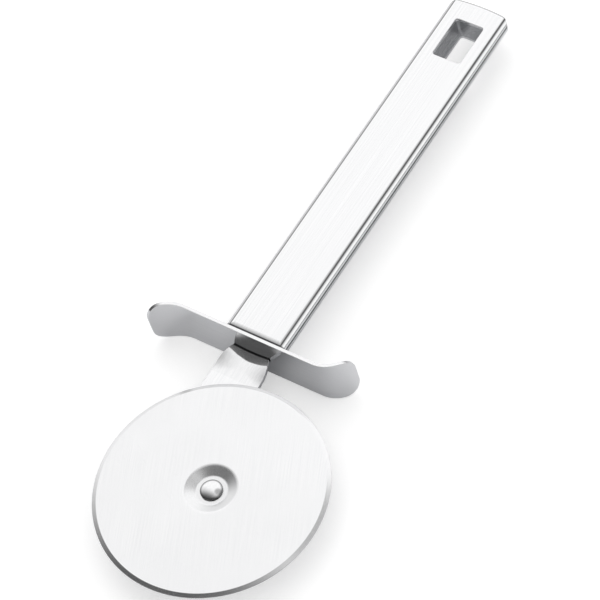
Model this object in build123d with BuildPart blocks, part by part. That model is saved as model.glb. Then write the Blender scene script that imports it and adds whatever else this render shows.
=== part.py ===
from build123d import *
import os
from math import atan2, radians, sin, sqrt, tan

os.makedirs("parts", exist_ok=True)

# A pizza cutter: a steel wheel on a cranked arm, a curled finger guard and a hollow handle.
# X runs from the wheel to the handle's tail, Y towards the thumb, Z out of the handle's face.
# The origin is under the middle of the whole cutter, level with the guard's lower edge.

# Cutting wheel
wheel_diameter = 70.0
wheel_thickness = 1.2
wheel_edge_land = 0.2          # flat left at the cutting edge
bevel_width = 1.25
dimple_diameter = 15.7         # where the dimple leaves the wheel's face
dimple_floor_diameter = 9.6
dimple_depth = 1.3
dimple_bend_radius = 1.0       # on the hollow side of each bend
bore_clearance = 0.08          # running fit on the rivet's shank
axle_end_gap = 0.1             # above and below the wheel

# Rivet and washer
shank_diameter = 4.0
rivet_head_diameter = 6.7
rivet_head_height = 1.15
rivet_head_rim = 0.35
rivet_tail_diameter = 6.4
rivet_tail_height = 0.9
rivet_tail_rim = 0.3
rivet_hole_clearance = 0.05
washer_diameter = 9.0
washer_thickness = 0.5
washer_clearance = 0.1

# Wheel arm and tang
wheel_reach = 44.85            # guard's front to the axle
wheel_side_offset = 14.7       # handle's middle to the axle, towards the fingers
arm_thickness = 1.5
arm_width = 16.0
arm_root_width = 12.3
arm_side_offset = 0.65         # handle's middle to the arm's, towards the thumb
arm_shoulder_length = 7.0      # from the root to the full width
arm_bend_reach = 22.0          # from the root to the corner of the bend in plan
arm_bend_radius = 25.0
arm_root_drop = 0.9            # root's top below the guard's middle
arm_plate_drop = 1.3           # plate's top below the guard's middle
neck_length = 10.0             # from the root to the flat plate
neck_dish_rise = 0.65          # root's edges above its middle
tang_width = 8.0
tang_clearance = 0.1           # all round the tang in each slot

# Finger guard
guard_thickness = 1.0
guard_height = 17.4
thumb_straight = 22.9          # handle's middle to the start of each curl
finger_straight = 22.4
thumb_curl_radius = 11.35      # to the guard's front surface
finger_curl_radius = 9.7
thumb_curl_angle = 61.0
finger_curl_angle = 77.0
guard_corner_radius = 5.6

# Hollow handle
handle_length = 132.7
handle_width = 20.5
handle_depth = 9.8
handle_lift = 0.25             # handle's middle above the guard's middle
pan_depth = 2.0                # face to seam
wall = 1.1
tail_corner_radius = 3.0
tail_bow_radius = 70.0
tail_edge_round = 0.5
hull_end_round = 2.4           # at the back of both ends
front_round = 1.8              # in plan, and under the seam
front_roll_radius = 4.5        # where the face rolls down behind the guard
front_roll_length = 3.3
shoulder_width = 1.45
shoulder_slope = 31.0
shoulder_upper_round = 3.0
shoulder_lower_round = 1.2
seam_gap_depth = 0.4           # shadow gap cut into the pan's skirt along the seam
seam_gap_height = 0.18
hull_side_share = 0.932        # half width where the hull's side turns in, as a share of its own
hull_side_drop_share = 0.372   # how far down that is, as a share of the hull's depth
hull_corner_share = 0.683      # half width at the corner before it is rounded
hull_side_round_share = 1.92   # radii of the side and the corner, as shares of the hull's depth
hull_corner_round_share = 0.45

# Hanging hole and tang plug
hole_length = 14.64
hole_width = 9.85
hole_corner_radius = 0.9
hole_tail_margin = 7.0
hole_edge_round = 0.2
sleeve_wall = 1.0
plug_length = 12.0
inner_fit = 0.06               # round the sleeve and the plug inside the shells

cut_overrun = 1.0

# Places along X and Y
wheel_radius = wheel_diameter / 2
cutter_length = wheel_radius + wheel_reach + guard_thickness + handle_length
thumb_tip = thumb_straight + (thumb_curl_radius + guard_thickness) * sin(radians(thumb_curl_angle))
guard_x = wheel_radius + wheel_reach - cutter_length / 2
handle_y = (wheel_side_offset + wheel_radius - thumb_tip) / 2
handle_front = guard_x + guard_thickness
handle_tail = handle_front + handle_length
wheel_x = guard_x - wheel_reach
wheel_y = handle_y - wheel_side_offset
arm_y = handle_y + arm_side_offset

# Heights
guard_middle = guard_height / 2
face_height = guard_middle + handle_lift + handle_depth / 2
back_height = face_height - handle_depth
seam_height = face_height - pan_depth
root_top = guard_middle - arm_root_drop
plate_top = guard_middle - arm_plate_drop
plate_bottom = plate_top - arm_thickness
washer_top = plate_top + washer_thickness
dimple_bottom = washer_top + axle_end_gap
dimple_floor = dimple_bottom + wheel_thickness
wheel_top = dimple_floor + dimple_depth
head_base = dimple_floor + axle_end_gap

axle = Axis((wheel_x, wheel_y, 0), (0, 0, 1))
axle_plane = Plane(origin=(wheel_x, wheel_y, 0), x_dir=(1, 0, 0), z_dir=(0, -1, 0))
tang_middle = root_top - arm_thickness / 2
plug_x = handle_front + front_roll_length + inner_fit
tang_length = plug_x + plug_length - guard_x
tang_slot_width = tang_width + 2 * tang_clearance
tang_slot_height = arm_thickness + 2 * tang_clearance


# Cutting wheel: one revolved sheet profile, with the dimple pressed through it
dimple_run = (dimple_diameter - dimple_floor_diameter) / 2
dimple_slope = atan2(dimple_depth, dimple_run)
sheet_shift = wheel_thickness * tan(dimple_slope / 2)
floor_radius = dimple_floor_diameter / 2
rim_radius = dimple_diameter / 2
flat_radius = wheel_radius - bevel_width
bore_radius = shank_diameter / 2 + bore_clearance
bevel_depth = (wheel_thickness - wheel_edge_land) / 2
outer_bend = dimple_bend_radius + wheel_thickness

with BuildPart() as cutting_wheel:
    with BuildSketch(axle_plane):
        with BuildLine():
            FilletPolyline(
                (bore_radius, dimple_floor),
                (floor_radius, dimple_floor),
                (rim_radius, wheel_top),
                (flat_radius, wheel_top),
                (wheel_radius, wheel_top - bevel_depth),
                (wheel_radius, wheel_top - wheel_thickness + bevel_depth),
                (flat_radius, wheel_top - wheel_thickness),
                (rim_radius + sheet_shift, wheel_top - wheel_thickness),
                (floor_radius + sheet_shift, dimple_bottom),
                (bore_radius, dimple_bottom),
                radius=(0, dimple_bend_radius, outer_bend, 0, 0, 0, 0, dimple_bend_radius, outer_bend, 0),
                close=True,
            )
        make_face()
    revolve(axis=axle)
cutting_wheel.part.label = "cutting_wheel"
export_step(cutting_wheel.part, "parts/cutting_wheel.step")


# Axle rivet: domed head in the dimple, shank, and formed tail under the arm
shank_radius = shank_diameter / 2
head_radius = rivet_head_diameter / 2
tail_radius = rivet_tail_diameter / 2
head_apex = head_base + rivet_head_height
tail_apex = plate_bottom - rivet_tail_height

with BuildPart() as axle_rivet:
    with BuildSketch(axle_plane):
        with BuildLine():
            TangentArc((0, head_apex), (head_radius, head_base + rivet_head_rim), tangent=(1, 0))
            Polyline(
                (head_radius, head_base + rivet_head_rim),
                (head_radius, head_base),
                (shank_radius, head_base),
                (shank_radius, plate_bottom),
                (tail_radius, plate_bottom),
                (tail_radius, plate_bottom - rivet_tail_rim),
            )
            TangentArc((0, tail_apex), (tail_radius, plate_bottom - rivet_tail_rim), tangent=(1, 0))
            Line((0, tail_apex), (0, head_apex))
        make_face()
    revolve(axis=axle)
axle_rivet.part.label = "axle_rivet"
export_step(axle_rivet.part, "parts/axle_rivet.step")


# Spacer washer: seated on the arm, clear of the turning dimple
with BuildPart() as spacer_washer:
    with BuildSketch(Plane.XY.offset(plate_top)):
        with Locations((wheel_x, wheel_y)):
            Circle(washer_diameter / 2)
            Circle(shank_radius + washer_clearance, mode=Mode.SUBTRACT)
    extrude(amount=washer_thickness)
spacer_washer.part.label = "spacer_washer"
export_step(spacer_washer.part, "parts/spacer_washer.step")


# Wheel arm: the plan is blanked from a sheet that is dished at the neck and flat beyond it
neck_section_shares = (0, 0.25, 0.5, 0.75, 1)
sheet_half_width = arm_width / 2 + cut_overrun
sheet_dish_rise = neck_dish_rise * (sheet_half_width / (arm_root_width / 2)) ** 2
plate_x = guard_x - neck_length
plate_end_x = wheel_x - arm_width / 2 - cut_overrun
plate_span = arm_width + wheel_side_offset + 2 * cut_overrun

with BuildPart() as arm_sheet:
    for share in neck_section_shares:
        blend = 1 - share**2 * (3 - 2 * share)
        top = plate_top + blend * (root_top - plate_top)
        rise = blend * sheet_dish_rise
        with BuildSketch(Plane.YZ.offset(guard_x - share * neck_length)):
            with BuildLine():
                upper = Bezier(
                    (arm_y - sheet_half_width, top + rise),
                    (arm_y, top - rise),
                    (arm_y + sheet_half_width, top + rise),
                )
                lower = Bezier(
                    (arm_y - sheet_half_width, top + rise - arm_thickness),
                    (arm_y, top - rise - arm_thickness),
                    (arm_y + sheet_half_width, top + rise - arm_thickness),
                )
                Line(upper @ 0, lower @ 0)
                Line(upper @ 1, lower @ 1)
            make_face()
    loft()
    with BuildSketch(Plane.XY.offset(plate_top)):
        with Locations(((plate_x + plate_end_x) / 2, (arm_y + wheel_y) / 2)):
            Rectangle(plate_x - plate_end_x, plate_span)
    extrude(amount=-arm_thickness)

shoulder_x = guard_x - arm_shoulder_length
with BuildPart() as wheel_arm:
    with BuildSketch(Plane.XY.offset(plate_bottom - arm_thickness)):
        with BuildLine():
            for side in (1, -1):
                TangentArc(
                    (shoulder_x, arm_y + side * arm_width / 2),
                    (guard_x, arm_y + side * arm_root_width / 2),
                    tangent=(1, 0),
                )
            Line((guard_x, arm_y - arm_root_width / 2), (guard_x, arm_y + arm_root_width / 2))
            Line((shoulder_x, arm_y - arm_width / 2), (shoulder_x, arm_y + arm_width / 2))
        make_face()
        with BuildLine():
            FilletPolyline(
                (shoulder_x, arm_y),
                (guard_x - arm_bend_reach, arm_y),
                (wheel_x, wheel_y),
                radius=arm_bend_radius,
            )
        trace(line_width=arm_width)
        with Locations((wheel_x, wheel_y)):
            Circle(arm_width / 2)
    extrude(amount=guard_height)
    add(arm_sheet.part, mode=Mode.INTERSECT)
    with BuildSketch(Plane.YZ.offset(guard_x)):
        with Locations((arm_y, tang_middle)):
            Rectangle(tang_width, arm_thickness)
    extrude(amount=tang_length)
    with BuildSketch(Plane.XY.offset(plate_top)):
        with Locations((wheel_x, wheel_y)):
            Circle(shank_radius + rivet_hole_clearance)
    extrude(amount=-arm_thickness, mode=Mode.SUBTRACT)
wheel_arm.part.label = "wheel_arm"
export_step(wheel_arm.part, "parts/wheel_arm.step")


# Finger guard: a flat strip, curled towards the wheel at the thumb and back towards the fingers
guard_mid_x = guard_x + guard_thickness / 2

with BuildPart() as finger_guard:
    with BuildSketch():
        with BuildLine():
            straight = Line(
                (guard_mid_x, handle_y - finger_straight), (guard_mid_x, handle_y + thumb_straight)
            )
            thumb_curl = JernArc(
                straight @ 1, straight % 1, thumb_curl_radius + guard_thickness / 2, thumb_curl_angle
            )
            finger_curl = JernArc(
                straight @ 0, (0, -1), finger_curl_radius - guard_thickness / 2, finger_curl_angle
            )
        trace(line_width=guard_thickness)
    extrude(amount=guard_height)
    for curl in (thumb_curl, finger_curl):
        outward = curl % 1
        tip_plane = Plane(
            origin=(curl @ 1), x_dir=outward, z_dir=(outward.Y, -outward.X, 0)
        )
        with BuildSketch(tip_plane):
            with Locations((0, guard_middle)):
                Rectangle(2 * guard_corner_radius, guard_height + 2 * cut_overrun)
            with Locations((-guard_height, guard_middle)):
                RectangleRounded(2 * guard_height, guard_height, guard_corner_radius, mode=Mode.SUBTRACT)
        extrude(amount=guard_corner_radius, both=True, mode=Mode.SUBTRACT)
    with BuildSketch(Plane.YZ.offset(guard_x)):
        with Locations((arm_y, tang_middle)):
            Rectangle(tang_slot_width, tang_slot_height)
    extrude(amount=guard_thickness, mode=Mode.SUBTRACT)
finger_guard.part.label = "finger_guard"
export_step(finger_guard.part, "parts/finger_guard.step")


def plan_block(inset, bottom, height):
    """The handle's outline in plan, drawn in all round: bowed at the tail, with rounded corners."""
    half_width = handle_width / 2 - inset
    front = handle_front + inset
    tail = handle_tail - inset
    bow_rise = tail_bow_radius - sqrt(tail_bow_radius**2 - half_width**2)
    with BuildPart() as block:
        with BuildSketch(Plane.XY.offset(bottom)) as outline:
            with BuildLine():
                Polyline(
                    (tail - bow_rise, handle_y - half_width),
                    (front, handle_y - half_width),
                    (front, handle_y + half_width),
                    (tail - bow_rise, handle_y + half_width),
                )
                ThreePointArc(
                    (tail - bow_rise, handle_y + half_width),
                    (tail, handle_y),
                    (tail - bow_rise, handle_y - half_width),
                )
            make_face()
            fillet(outline.vertices().group_by(Axis.X)[0], radius=front_round - inset)
            fillet(outline.vertices().group_by(Axis.X)[-1], radius=tail_corner_radius - inset)
        extrude(amount=height)
    return block.part


def hull_block(inset):
    """The handle's form below the seam, drawn in on every side but the seam's."""
    half_width = handle_width / 2 - inset
    floor = back_height + inset
    side_height = seam_height - hull_side_drop_share * (seam_height - floor)
    side_round = hull_side_round_share * (seam_height - back_height) - inset
    corner_round = hull_corner_round_share * (seam_height - back_height) - inset
    with BuildPart() as block:
        with BuildSketch(Plane.YZ.offset(handle_front + inset)):
            with BuildLine():
                FilletPolyline(
                    (handle_y + half_width, seam_height),
                    (handle_y + half_width * hull_side_share, side_height),
                    (handle_y + half_width * hull_corner_share, floor),
                    (handle_y - half_width * hull_corner_share, floor),
                    (handle_y - half_width * hull_side_share, side_height),
                    (handle_y - half_width, seam_height),
                    radius=(0, side_round, corner_round, corner_round, side_round, 0),
                    close=True,
                )
            make_face()
        extrude(amount=handle_length - 2 * inset)
        add(plan_block(inset, floor - cut_overrun, handle_depth), mode=Mode.INTERSECT)
        with BuildSketch(Plane.XZ.offset(-handle_y)) as side_view:
            with Locations(((handle_front + handle_tail) / 2, floor + handle_depth / 2)):
                Rectangle(handle_length - 2 * inset, handle_depth)
            fillet(side_view.vertices().group_by(Axis.Z)[0], radius=hull_end_round - inset)
        extrude(amount=handle_width, both=True, mode=Mode.INTERSECT)
    return block.part


def pan_block(inset):
    """The handle's form above the seam, rolled down behind the guard, drawn in in the same way."""
    roll_x = handle_front + front_roll_length
    roll_radius = front_roll_radius - inset
    roll_reach = front_roll_length - inset
    roll_drop = roll_radius - sqrt(roll_radius**2 - roll_reach**2)
    top = face_height - inset
    with BuildPart() as block:
        add(plan_block(inset, seam_height, pan_depth - inset))
        with BuildSketch(Plane.XZ.offset(-handle_y)):
            with BuildLine():
                TangentArc((roll_x, top), (handle_front + inset, top - roll_drop), tangent=(-1, 0))
                Polyline(
                    (handle_front + inset, top - roll_drop),
                    (handle_front + inset, top + cut_overrun),
                    (roll_x, top + cut_overrun),
                    (roll_x, top),
                )
            make_face()
        extrude(amount=handle_width, both=True, mode=Mode.SUBTRACT)
    return block.part


def hang_hole(block_plane, grow):
    """Outline of the hanging hole, grown all round."""
    with BuildSketch(block_plane) as hole:
        with Locations((handle_tail - hole_tail_margin - hole_length / 2, handle_y)):
            RectangleRounded(hole_length + 2 * grow, hole_width + 2 * grow, hole_corner_radius + grow)
    return hole.sketch


# Handle face: a shallow pan with a sloping shoulder along each side
side_y = handle_width / 2
shoulder_drop = shoulder_width * tan(radians(shoulder_slope))
shoulder_reach = shoulder_width + 2 * shoulder_upper_round * tan(radians(shoulder_slope) / 2)

with BuildPart() as shoulder_cutter:
    with BuildSketch(Plane.YZ.offset(handle_front - cut_overrun)):
        with BuildLine():
            FilletPolyline(
                (handle_y + side_y, seam_height),
                (handle_y + side_y, face_height - shoulder_drop),
                (handle_y + side_y - shoulder_width, face_height),
                (handle_y + side_y - shoulder_reach, face_height),
                (handle_y + side_y - shoulder_reach, face_height + cut_overrun),
                (handle_y + side_y + cut_overrun, face_height + cut_overrun),
                (handle_y + side_y + cut_overrun, seam_height),
                radius=(0, shoulder_lower_round, shoulder_upper_round, 0, 0, 0, 0),
                close=True,
            )
        make_face()
    extrude(amount=handle_length + 2 * cut_overrun)

with BuildPart() as seam_gap:
    add(plan_block(-cut_overrun, seam_height, seam_gap_height))
    add(plan_block(seam_gap_depth, seam_height, seam_gap_height), mode=Mode.SUBTRACT)

outer_pan = pan_block(0)
inner_pan = pan_block(wall)

with BuildPart() as handle_face:
    add(outer_pan)
    tail_edges = handle_face.faces().sort_by(Axis.Z)[-1].edges().sort_by(Axis.X)[-3:]
    fillet(tail_edges, radius=tail_edge_round)
    add(shoulder_cutter.part, mode=Mode.SUBTRACT)
    add(mirror(shoulder_cutter.part, about=Plane.XZ.offset(-handle_y)), mode=Mode.SUBTRACT)
    add(seam_gap.part, mode=Mode.SUBTRACT)
    add(inner_pan, mode=Mode.SUBTRACT)
    extrude(hang_hole(Plane.XY.offset(seam_height), 0), amount=pan_depth, mode=Mode.SUBTRACT)
    fillet(handle_face.faces().sort_by(Axis.Z)[-1].inner_wires().edges(), radius=hole_edge_round)
handle_face.part.label = "handle_face"
export_step(handle_face.part, "parts/handle_face.step")


# Handle back: the rounded shell below the seam, with the tang's slot in its front wall
with BuildPart() as handle_back:
    add(hull_block(0))
    add(hull_block(wall), mode=Mode.SUBTRACT)
    extrude(hang_hole(Plane.XY.offset(back_height), 0), amount=handle_depth, mode=Mode.SUBTRACT)
    with BuildSketch(Plane.YZ.offset(handle_front)):
        with Locations((arm_y, tang_middle)):
            Rectangle(tang_slot_width, tang_slot_height)
    extrude(amount=hull_end_round, mode=Mode.SUBTRACT)
handle_back.part.label = "handle_back"
export_step(handle_back.part, "parts/handle_back.step")


# The hollow inside the handle, less the fit of what is brazed into it
with BuildPart() as hollow:
    add(hull_block(wall + inner_fit))
    add(pan_block(wall + inner_fit))


# Hang hole sleeve: a rectangular tube whose ends follow the two shells
with BuildPart() as hang_hole_sleeve:
    extrude(hang_hole(Plane.XY.offset(back_height), sleeve_wall), amount=handle_depth)
    add(hollow.part, mode=Mode.INTERSECT)
    extrude(hang_hole(Plane.XY.offset(back_height), 0), amount=handle_depth, mode=Mode.SUBTRACT)
hang_hole_sleeve.part.label = "hang_hole_sleeve"
export_step(hang_hole_sleeve.part, "parts/hang_hole_sleeve.step")


# Tang plug: fills the front of the hollow and grips the tang
with BuildPart() as tang_plug:
    with BuildSketch(Plane.YZ.offset(plug_x)):
        with Locations((handle_y, guard_middle)):
            Rectangle(handle_width, guard_height)
    extrude(amount=plug_length)
    add(hollow.part, mode=Mode.INTERSECT)
    with BuildSketch(Plane.YZ.offset(plug_x)):
        with Locations((arm_y, tang_middle)):
            Rectangle(tang_slot_width, tang_slot_height)
    extrude(amount=plug_length, mode=Mode.SUBTRACT)
tang_plug.part.label = "tang_plug"
export_step(tang_plug.part, "parts/tang_plug.step")
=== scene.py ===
import math

import bpy
from mathutils import Matrix, Vector


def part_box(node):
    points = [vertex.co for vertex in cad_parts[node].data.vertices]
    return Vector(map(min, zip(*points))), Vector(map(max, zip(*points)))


# The look of the pizza cutter: steels, floor, studio light and the photograph's camera.
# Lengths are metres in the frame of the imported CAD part: X runs from the wheel to the handle's tail,
# Y from the fingers' side to the thumb's, Z up.


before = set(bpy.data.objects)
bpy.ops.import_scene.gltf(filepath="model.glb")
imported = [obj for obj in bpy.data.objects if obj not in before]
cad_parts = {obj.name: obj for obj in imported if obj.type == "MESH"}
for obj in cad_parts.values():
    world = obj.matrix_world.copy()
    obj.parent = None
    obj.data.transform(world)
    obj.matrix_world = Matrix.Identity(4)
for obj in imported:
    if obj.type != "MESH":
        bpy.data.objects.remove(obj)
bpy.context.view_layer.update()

MM = 0.001
WHITE = (1, 1, 1, 1)
NOISE_BAND = (0.3, 0.7)              # most values of a noise lie between these

# Camera, solved from the photograph's straight edges and the wheel's outline
CAMERA_PLACE = Vector((-0.382982, -0.426783, 0.833730))
CAMERA_RIGHT = Vector((0.5254625, -0.8285802, -0.1932459))
CAMERA_UP = Vector((0.7634510, 0.3589298, 0.5369469))
FOCAL_PIXELS = 3415.86
PICTURE_WIDTH = 600                  # pixels
SENSOR_WIDTH = 36.0                  # millimetres, as Blender takes it
CLIP_END = 20.0

# Floor: a pale light table
FLOOR_RADIUS = 4.0
FLOOR_SIDES = 96
FLOOR_DEPTH = 0.25 * MM              # below the guard's lower edge
FLOOR_LIGHT = (0.68, 0.68, 0.68, 1)
FLOOR_DARK = (0.66, 0.66, 0.66, 1)
FLOOR_PATCH_SCALE = 9.0
FLOOR_PATCH_DETAIL = 4.0
FLOOR_ROUGHNESS = 0.8
FLOOR_GLOW = 0.46
MIRRORED_FLOOR = (0.78, 0.785, 0.80, 1)

# Tent: its brightness in each direction. A pair gives where a change along one axis begins and ends.
TENT_WHITE = 1.15
TENT_DARK = 0.1
DARK_TO_TAIL = (-0.38, 0.4)          # along X, from dark to white
WHEEL_TO_DARK = (-0.75, -0.5)        # along X, from white to dark
OPENING_DIRECTION = Vector((0.3755, -0.18, 0.909)).normalized()
OPENING_EDGE = (0.985, 0.935)        # cosines of the angle from its middle, from dim to white
OPENING_LEVEL = 0.5
HORIZON = (0.0, 0.4)                 # along Z, from dim to white, on every side
HORIZON_LEVEL = 0.65
FINGER_HORIZON = (0.1, 0.42)         # along Z, from dark to white, on the fingers' side
FINGER_LEVEL = 0.1
FINGER_SIDE = (-0.6, -0.1)           # along Y, where that horizon fades out

# Fill light over the floor
FILL_SIZE = 2.4
FILL_POWER = 11.5
FILL_PLACE = Vector((0.1, 0.0, 1.5))

# Steel
STEEL_LIGHT = (0.87, 0.87, 0.875, 1)
STEEL_DARK = (0.80, 0.802, 0.81, 1)
SLEEVE_LIGHT = (0.64, 0.645, 0.655, 1)
SLEEVE_DARK = (0.36, 0.365, 0.375, 1)
# Near black mixed into the steel as painted shade in crevices and seams, and as painted dark reflection lines
# on the handle's face
PAINTED_SHADE_COLOUR = (0.03, 0.03, 0.032, 1)
EDGE_RADIUS = 0.15 * MM
EDGE_SAMPLES = 6

# Brushing
GRAIN_ROUGHNESS = 0.6
STREAK_DETAIL = 3.0
FINE_DETAIL = 1.0
FINE_SHORTER = 3                     # the fine streaks are this many times shorter
FINE_THINNER = 4
FINE_SHARE = 0.3
ROUGH_BAND = (0.25, 0.75)
GRAIN_DEPTH = 0.05 * MM

# Handling patches and scratches
PATCH_SCALE = 60.0
PATCH_DETAIL = 3.0
PATCH_BAND = (0.35, 0.7)
SCRATCHES = ((5 * MM, 35), (7 * MM, -50))    # length, and degrees off the grain
SCRATCH_WIDTH = 0.03 * MM
SCRATCH_SHARE = 0.24
SCRATCH_EDGE = 0.04
SCRATCH_ROUGHNESS = 0.12
SCRATCH_DEPTH = 0.6                  # share of the grain's depth

# Round the axle
RIVET_LOW, RIVET_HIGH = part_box("axle_rivet")
AXLE = (RIVET_LOW + RIVET_HIGH) / 2
RIVET_RADIUS = (RIVET_HIGH.x - RIVET_LOW.x) / 2
# Painted shade ring on the rivet's head where it meets the dimple
RIM_REACH = 0.8 * MM
RIM_SHARE = 0.8
DIMPLE_RADIUS = 7.85 * MM
DIMPLE_EDGE = 0.4 * MM
DIMPLE_HAZE = 0.1

# On the handle and at its front
FACE_LOW, FACE_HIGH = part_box("handle_face")
HANDLE_MIDDLE = (FACE_LOW.y + FACE_HIGH.y) / 2
GUARD_THICKNESS = 1.0 * MM
GUARD_FRONT = FACE_LOW.x - GUARD_THICKNESS   # where the arm leaves the guard
# Painted shade where the arm leaves the guard
ROOT_REACH = 0.45 * MM
# Painted shade line along the seam between the handle's halves
SEAM_DROP = 0.09 * MM                # from the face's lower edge to the middle of the seam
SEAM_HEIGHT = FACE_LOW.z - SEAM_DROP
SEAM_REACH = 0.66 * MM
# Painted dark reflection lines on the face's rolled edges and tail: where they lie, how wide and how dark
SIDE_INSET = 1.3 * MM                # each inset is from the face's outer edge to its painted dark reflection line
SIDE_CREASE = FACE_HIGH.y - HANDLE_MIDDLE - SIDE_INSET
FRONT_INSET = 1.925 * MM
FRONT_CREASE = FACE_LOW.x + FRONT_INSET
CREASE_REACH = 0.3 * MM
CREASE_SHARE = 0.75
TAIL_BOW = 70.0 * MM                 # radius of the tail's bow
TAIL_INSET = 0.3 * MM
TAIL_SHARE = 0.45


class Graph:
    """The emptied node tree of a material or world, with short ways to add nodes and to join them."""

    def __init__(self, owner):
        owner.use_nodes = True
        self.tree = owner.node_tree
        self.tree.nodes.clear()

    def add(self, kind, inputs, **settings):
        """A node with these settings, and with each input set to a number or joined to a socket."""
        made = self.tree.nodes.new(kind)
        for name, value in settings.items():
            setattr(made, name, value)
        for name, value in inputs.items():
            if isinstance(value, bpy.types.NodeSocket):
                self.tree.links.new(value, made.inputs[name])
            else:
                made.inputs[name].default_value = value
        return made

    def math(self, operation, first, second=0.0, clamp=False):
        made = self.add("ShaderNodeMath", {0: first, 1: second}, operation=operation, use_clamp=clamp)
        return made.outputs[0]

    def remap(self, value, low, high, to_low=0.0, to_high=1.0):
        """A smooth change from one level to another while the value goes from low to high."""
        inputs = {"Value": value, "From Min": low, "From Max": high, "To Min": to_low, "To Max": to_high}
        return self.add("ShaderNodeMapRange", inputs, interpolation_type="SMOOTHSTEP").outputs["Result"]

    def mix(self, share, first, second):
        inputs = {"Factor": share, "A": first, "B": second}
        return self.add("ShaderNodeMix", inputs, data_type="RGBA").outputs["Result"]

    def noise(self, where, scale, detail, roughness=0.5):
        inputs = {"Vector": where, "Scale": scale, "Detail": detail, "Roughness": roughness}
        return self.add("ShaderNodeTexNoise", inputs).outputs["Fac"]

    def point(self):
        """The point of the piece that is shaded, in the piece's own coordinates."""
        return self.add("ShaderNodeTexCoord", {}).outputs["Object"]

    def place(self, axis):
        return self.add("ShaderNodeSeparateXYZ", {0: self.point()}).outputs[axis]

    def turned(self, where, scale, degrees):
        inputs = {"Vector": where, "Rotation": (0, 0, math.radians(degrees)), "Scale": scale}
        return self.add("ShaderNodeMapping", inputs, vector_type="TEXTURE").outputs["Vector"]

    def ray(self, question):
        """One for the rays that this is true of, and nothing for the others."""
        return self.add("ShaderNodeLightPath", {}).outputs[question]

    def show(self, kind, surface):
        """The tree's output shows this surface."""
        self.add(kind, {"Surface": surface})


def grain(graph, where, length, width, degrees, detail):
    """Streaks of the given length and width along X turned by an angle about Z."""
    return graph.noise(graph.turned(where, (length, width, width), degrees), 1.0, detail, GRAIN_ROUGHNESS)


def scratches(graph, where, length, degrees):
    """Thin broken lines over a small share of the surface."""
    lines = grain(graph, where, length, SCRATCH_WIDTH, degrees, 0.0)
    return graph.remap(lines, 1 - SCRATCH_SHARE, 1 - SCRATCH_SHARE + SCRATCH_EDGE)


def steel(name, length, width, roughness, swing, bump, turn=0, light=STEEL_LIGHT, dark=STEEL_DARK,
          stains=(), haze=None):
    """A brushed steel: streaks, handling patches and fine scratches in colour, roughness and bump, with any
    painted shade and painted dark reflection lines mixed into its colour.
    """
    material = bpy.data.materials.new(name)
    graph = Graph(material)
    where = graph.point()
    streaks = grain(graph, where, length, width, turn, STREAK_DETAIL)
    fine = grain(graph, where, length / FINE_SHORTER, width / FINE_THINNER, turn, FINE_DETAIL)
    patches = graph.noise(where, PATCH_SCALE, PATCH_DETAIL)
    marks = graph.math("MAXIMUM", *(scratches(graph, where, long, turn + lean) for long, lean in SCRATCHES))
    streaks = graph.math("MULTIPLY", streaks, 1 - FINE_SHARE)
    texture = graph.math("ADD", streaks, graph.math("MULTIPLY", fine, FINE_SHARE))
    colour = graph.mix(graph.remap(texture, *NOISE_BAND), dark, light)
    rough = graph.remap(texture, *ROUGH_BAND, roughness - swing, roughness + swing)
    rough = graph.math("ADD", rough, graph.remap(patches, *PATCH_BAND, -swing / 2, swing / 2))
    rough = graph.math("ADD", rough, graph.math("MULTIPLY", marks, SCRATCH_ROUGHNESS), clamp=True)
    height = graph.math("SUBTRACT", texture, graph.math("MULTIPLY", marks, SCRATCH_DEPTH))
    # Painted shade and painted dark reflections: the colour goes to near black where each mask is high
    for stain in stains:
        colour = graph.mix(stain(graph), colour, PAINTED_SHADE_COLOUR)
    if haze:
        rough = graph.math("ADD", rough, haze(graph), clamp=True)
    rounded = graph.add("ShaderNodeBevel", {"Radius": EDGE_RADIUS}, samples=EDGE_SAMPLES)
    raised = graph.add("ShaderNodeBump", {
        "Strength": bump, "Distance": GRAIN_DEPTH, "Height": height, "Normal": rounded.outputs["Normal"]})
    surface = graph.add("ShaderNodeBsdfPrincipled", {
        "Metallic": 1.0, "Base Color": colour, "Roughness": rough, "Normal": raised.outputs["Normal"]})
    graph.show("ShaderNodeOutputMaterial", surface.outputs["BSDF"])
    return material


def near(graph, place, middle, reach):
    """One at the middle, falling to nothing at the reach on both sides."""
    away = graph.math("ABSOLUTE", graph.math("SUBTRACT", place, middle))
    return graph.remap(away, reach / 2, reach, 1.0, 0.0)


def distance(graph, centre_x, centre_y):
    """How far a point lies from an upright line."""
    x = graph.math("SUBTRACT", graph.place("X"), centre_x)
    y = graph.math("SUBTRACT", graph.place("Y"), centre_y)
    return graph.math("SQRT", graph.math("ADD", graph.math("MULTIPLY", x, x), graph.math("MULTIPLY", y, y)))


def root_painted_shade(graph):
    """Painted shade: the arm darkens in the crevice where it leaves the guard."""
    return near(graph, graph.place("X"), GUARD_FRONT, ROOT_REACH)


def rim_painted_shade(graph):
    """Painted shade: the rivet's head darkens towards the line where it meets the dimple."""
    radius = distance(graph, AXLE.x, AXLE.y)
    return graph.remap(radius, RIVET_RADIUS - RIM_REACH, RIVET_RADIUS, 0.0, RIM_SHARE)


def dimple_haze(graph):
    """The press leaves the dimple duller than the ground face around it."""
    radius = distance(graph, AXLE.x, AXLE.y)
    return graph.remap(radius, DIMPLE_RADIUS - DIMPLE_EDGE, DIMPLE_RADIUS + DIMPLE_EDGE, DIMPLE_HAZE, 0.0)


def seam_painted_shade(graph):
    """Painted shade along the seam between the two halves of the handle, where its shadow gap lies."""
    return near(graph, graph.place("Z"), SEAM_HEIGHT, SEAM_REACH)


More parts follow.
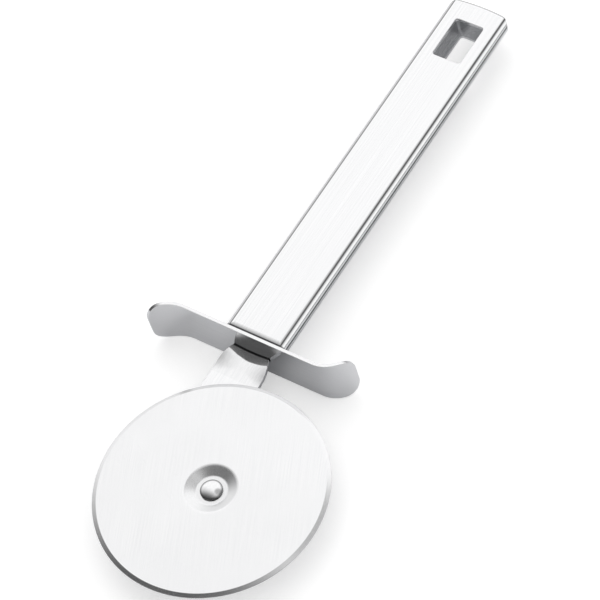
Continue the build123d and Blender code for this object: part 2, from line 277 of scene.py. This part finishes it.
def crease_painted_reflection(graph):
    """Painted dark reflections: fine dark lines along the face's rolled edges, and a fainter one at its tail.
    """
    sideways = graph.math("ABSOLUTE", graph.math("SUBTRACT", graph.place("Y"), HANDLE_MIDDLE))
    side = near(graph, sideways, SIDE_CREASE, CREASE_REACH)
    front = near(graph, graph.place("X"), FRONT_CREASE, CREASE_REACH)
    edges = graph.math("MULTIPLY", graph.math("MAXIMUM", side, front), CREASE_SHARE)
    along_bow = distance(graph, FACE_HIGH.x - TAIL_BOW, HANDLE_MIDDLE)
    tail = near(graph, along_bow, TAIL_BOW - TAIL_INSET, CREASE_REACH)
    return graph.math("MAXIMUM", edges, graph.math("MULTIPLY", tail, TAIL_SHARE))


def dress(node, name, **look):
    """The CAD node shows a steel of this name and nothing else."""
    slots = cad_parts[node].data.materials
    slots.clear()
    slots.append(steel(name, **look))


def dress_cutter():
    """Every node gets the steel that its making would leave, and some also get painted shade or painted dark
    reflection lines.
    """
    dress("cutting_wheel", "wheel_steel", length=24 * MM, width=0.15 * MM, turn=25,
          roughness=0.2, swing=0.04, bump=0.03, haze=dimple_haze)
    dress("axle_rivet", "rivet_steel", length=2 * MM, width=0.3 * MM,
          roughness=0.15, swing=0.04, bump=0.02, stains=(rim_painted_shade,))
    dress("spacer_washer", "washer_steel", length=2 * MM, width=0.2 * MM,
          roughness=0.3, swing=0.05, bump=0.05)
    dress("wheel_arm", "arm_steel", length=14 * MM, width=0.3 * MM,
          roughness=0.06, swing=0.02, bump=0.02, stains=(root_painted_shade,))
    dress("finger_guard", "guard_steel", length=20 * MM, width=0.2 * MM, turn=90,
          roughness=0.1, swing=0.03, bump=0.02)
    dress("handle_face", "face_steel", length=60 * MM, width=0.3 * MM,
          roughness=0.15, swing=0.02, bump=0.015, stains=(crease_painted_reflection, seam_painted_shade))
    dress("handle_back", "back_steel", length=60 * MM, width=0.3 * MM,
          roughness=0.13, swing=0.02, bump=0.015, stains=(seam_painted_shade,))
    dress("hang_hole_sleeve", "sleeve_steel", length=6 * MM, width=0.2 * MM,
          roughness=0.3, swing=0.06, bump=0.1, light=SLEEVE_LIGHT, dark=SLEEVE_DARK)
    dress("tang_plug", "plug_steel", length=6 * MM, width=0.3 * MM,
          roughness=0.4, swing=0.06, bump=0.08)


def floor_board():
    """A pale glowing table that looks grey in the steel, as a shaded table does."""
    material = bpy.data.materials.new("floor_board")
    graph = Graph(material)
    tone = graph.remap(graph.noise(graph.point(), FLOOR_PATCH_SCALE, FLOOR_PATCH_DETAIL), *NOISE_BAND)
    mirrored = graph.ray("Is Glossy Ray")
    surface = graph.add("ShaderNodeBsdfPrincipled", {
        "Base Color": graph.mix(mirrored, graph.mix(tone, FLOOR_DARK, FLOOR_LIGHT), MIRRORED_FLOOR),
        "Emission Color": WHITE,
        "Emission Strength": graph.remap(mirrored, 0.0, 1.0, FLOOR_GLOW, 0.0),
        "Roughness": FLOOR_ROUGHNESS})
    graph.show("ShaderNodeOutputMaterial", surface.outputs["BSDF"])
    return material


def add_floor():
    """A plain round floor under the cutter."""
    angles = [math.tau * i / FLOOR_SIDES for i in range(FLOOR_SIDES)]
    rim = [(FLOOR_RADIUS * math.cos(a), FLOOR_RADIUS * math.sin(a), -FLOOR_DEPTH) for a in angles]
    mesh = bpy.data.meshes.new("floor")
    mesh.from_pydata(rim, [], [tuple(range(FLOOR_SIDES))])
    mesh.materials.append(floor_board())
    floor = bpy.data.objects.new("floor", mesh)
    bpy.context.scene.collection.objects.link(floor)


def add_tent():
    """A white tent before a white backdrop, dark towards the wheel, dim overhead and along its horizon."""
    world = bpy.data.worlds.new("studio")
    bpy.context.scene.world = world
    graph = Graph(world)
    direction = graph.add("ShaderNodeTexCoord", {}).outputs["Generated"]
    x, y, z = graph.add("ShaderNodeSeparateXYZ", {0: direction}).outputs
    to_tail = graph.remap(x, *DARK_TO_TAIL, TENT_DARK, TENT_WHITE)
    side = graph.math("MAXIMUM", to_tail, graph.remap(x, *WHEEL_TO_DARK, TENT_WHITE, TENT_DARK))
    towards = graph.add("ShaderNodeVectorMath", {0: direction, 1: OPENING_DIRECTION}, operation="DOT_PRODUCT")
    opening = graph.remap(towards.outputs["Value"], *OPENING_EDGE, OPENING_LEVEL, TENT_WHITE)
    all_round = graph.remap(z, *HORIZON, HORIZON_LEVEL, TENT_WHITE)
    finger_side = graph.remap(z, *FINGER_HORIZON, FINGER_LEVEL, TENT_WHITE)
    finger_side = graph.math("MAXIMUM", finger_side, graph.remap(y, *FINGER_SIDE, 0.0, TENT_WHITE))
    horizon = graph.math("MINIMUM", all_round, finger_side)
    level = graph.math("MINIMUM", graph.math("MINIMUM", side, opening), horizon)
    shade = graph.add("ShaderNodeCombineColor", {0: level, 1: level, 2: level}).outputs["Color"]
    colour = graph.mix(graph.ray("Is Camera Ray"), shade, WHITE)
    background = graph.add("ShaderNodeBackground", {"Color": colour})
    graph.show("ShaderNodeOutputWorld", background.outputs["Background"])


def add_fill():
    """A large soft lamp over the floor, which the steel doesn't mirror."""
    lamp = bpy.data.lights.new("floor_fill", "AREA")
    lamp.size = FILL_SIZE
    lamp.energy = FILL_POWER
    fill = bpy.data.objects.new("floor_fill", lamp)
    fill.location = FILL_PLACE
    fill.visible_glossy = False
    bpy.context.scene.collection.objects.link(fill)


def add_camera():
    """The camera of the photograph."""
    back = CAMERA_RIGHT.cross(CAMERA_UP)
    turn = Matrix((CAMERA_RIGHT, CAMERA_UP, back)).transposed()
    lens = bpy.data.cameras.new("photo_camera")
    lens.sensor_width = SENSOR_WIDTH
    lens.lens = FOCAL_PIXELS / PICTURE_WIDTH * SENSOR_WIDTH
    lens.clip_end = CLIP_END
    camera = bpy.data.objects.new("photo_camera", lens)
    camera.matrix_world = Matrix.Translation(CAMERA_PLACE) @ turn.to_4x4()
    bpy.context.scene.collection.objects.link(camera)
    bpy.context.scene.camera = camera


dress_cutter()
add_floor()
add_tent()
add_fill()
add_camera()
bpy.context.scene.view_settings.view_transform = "Standard"
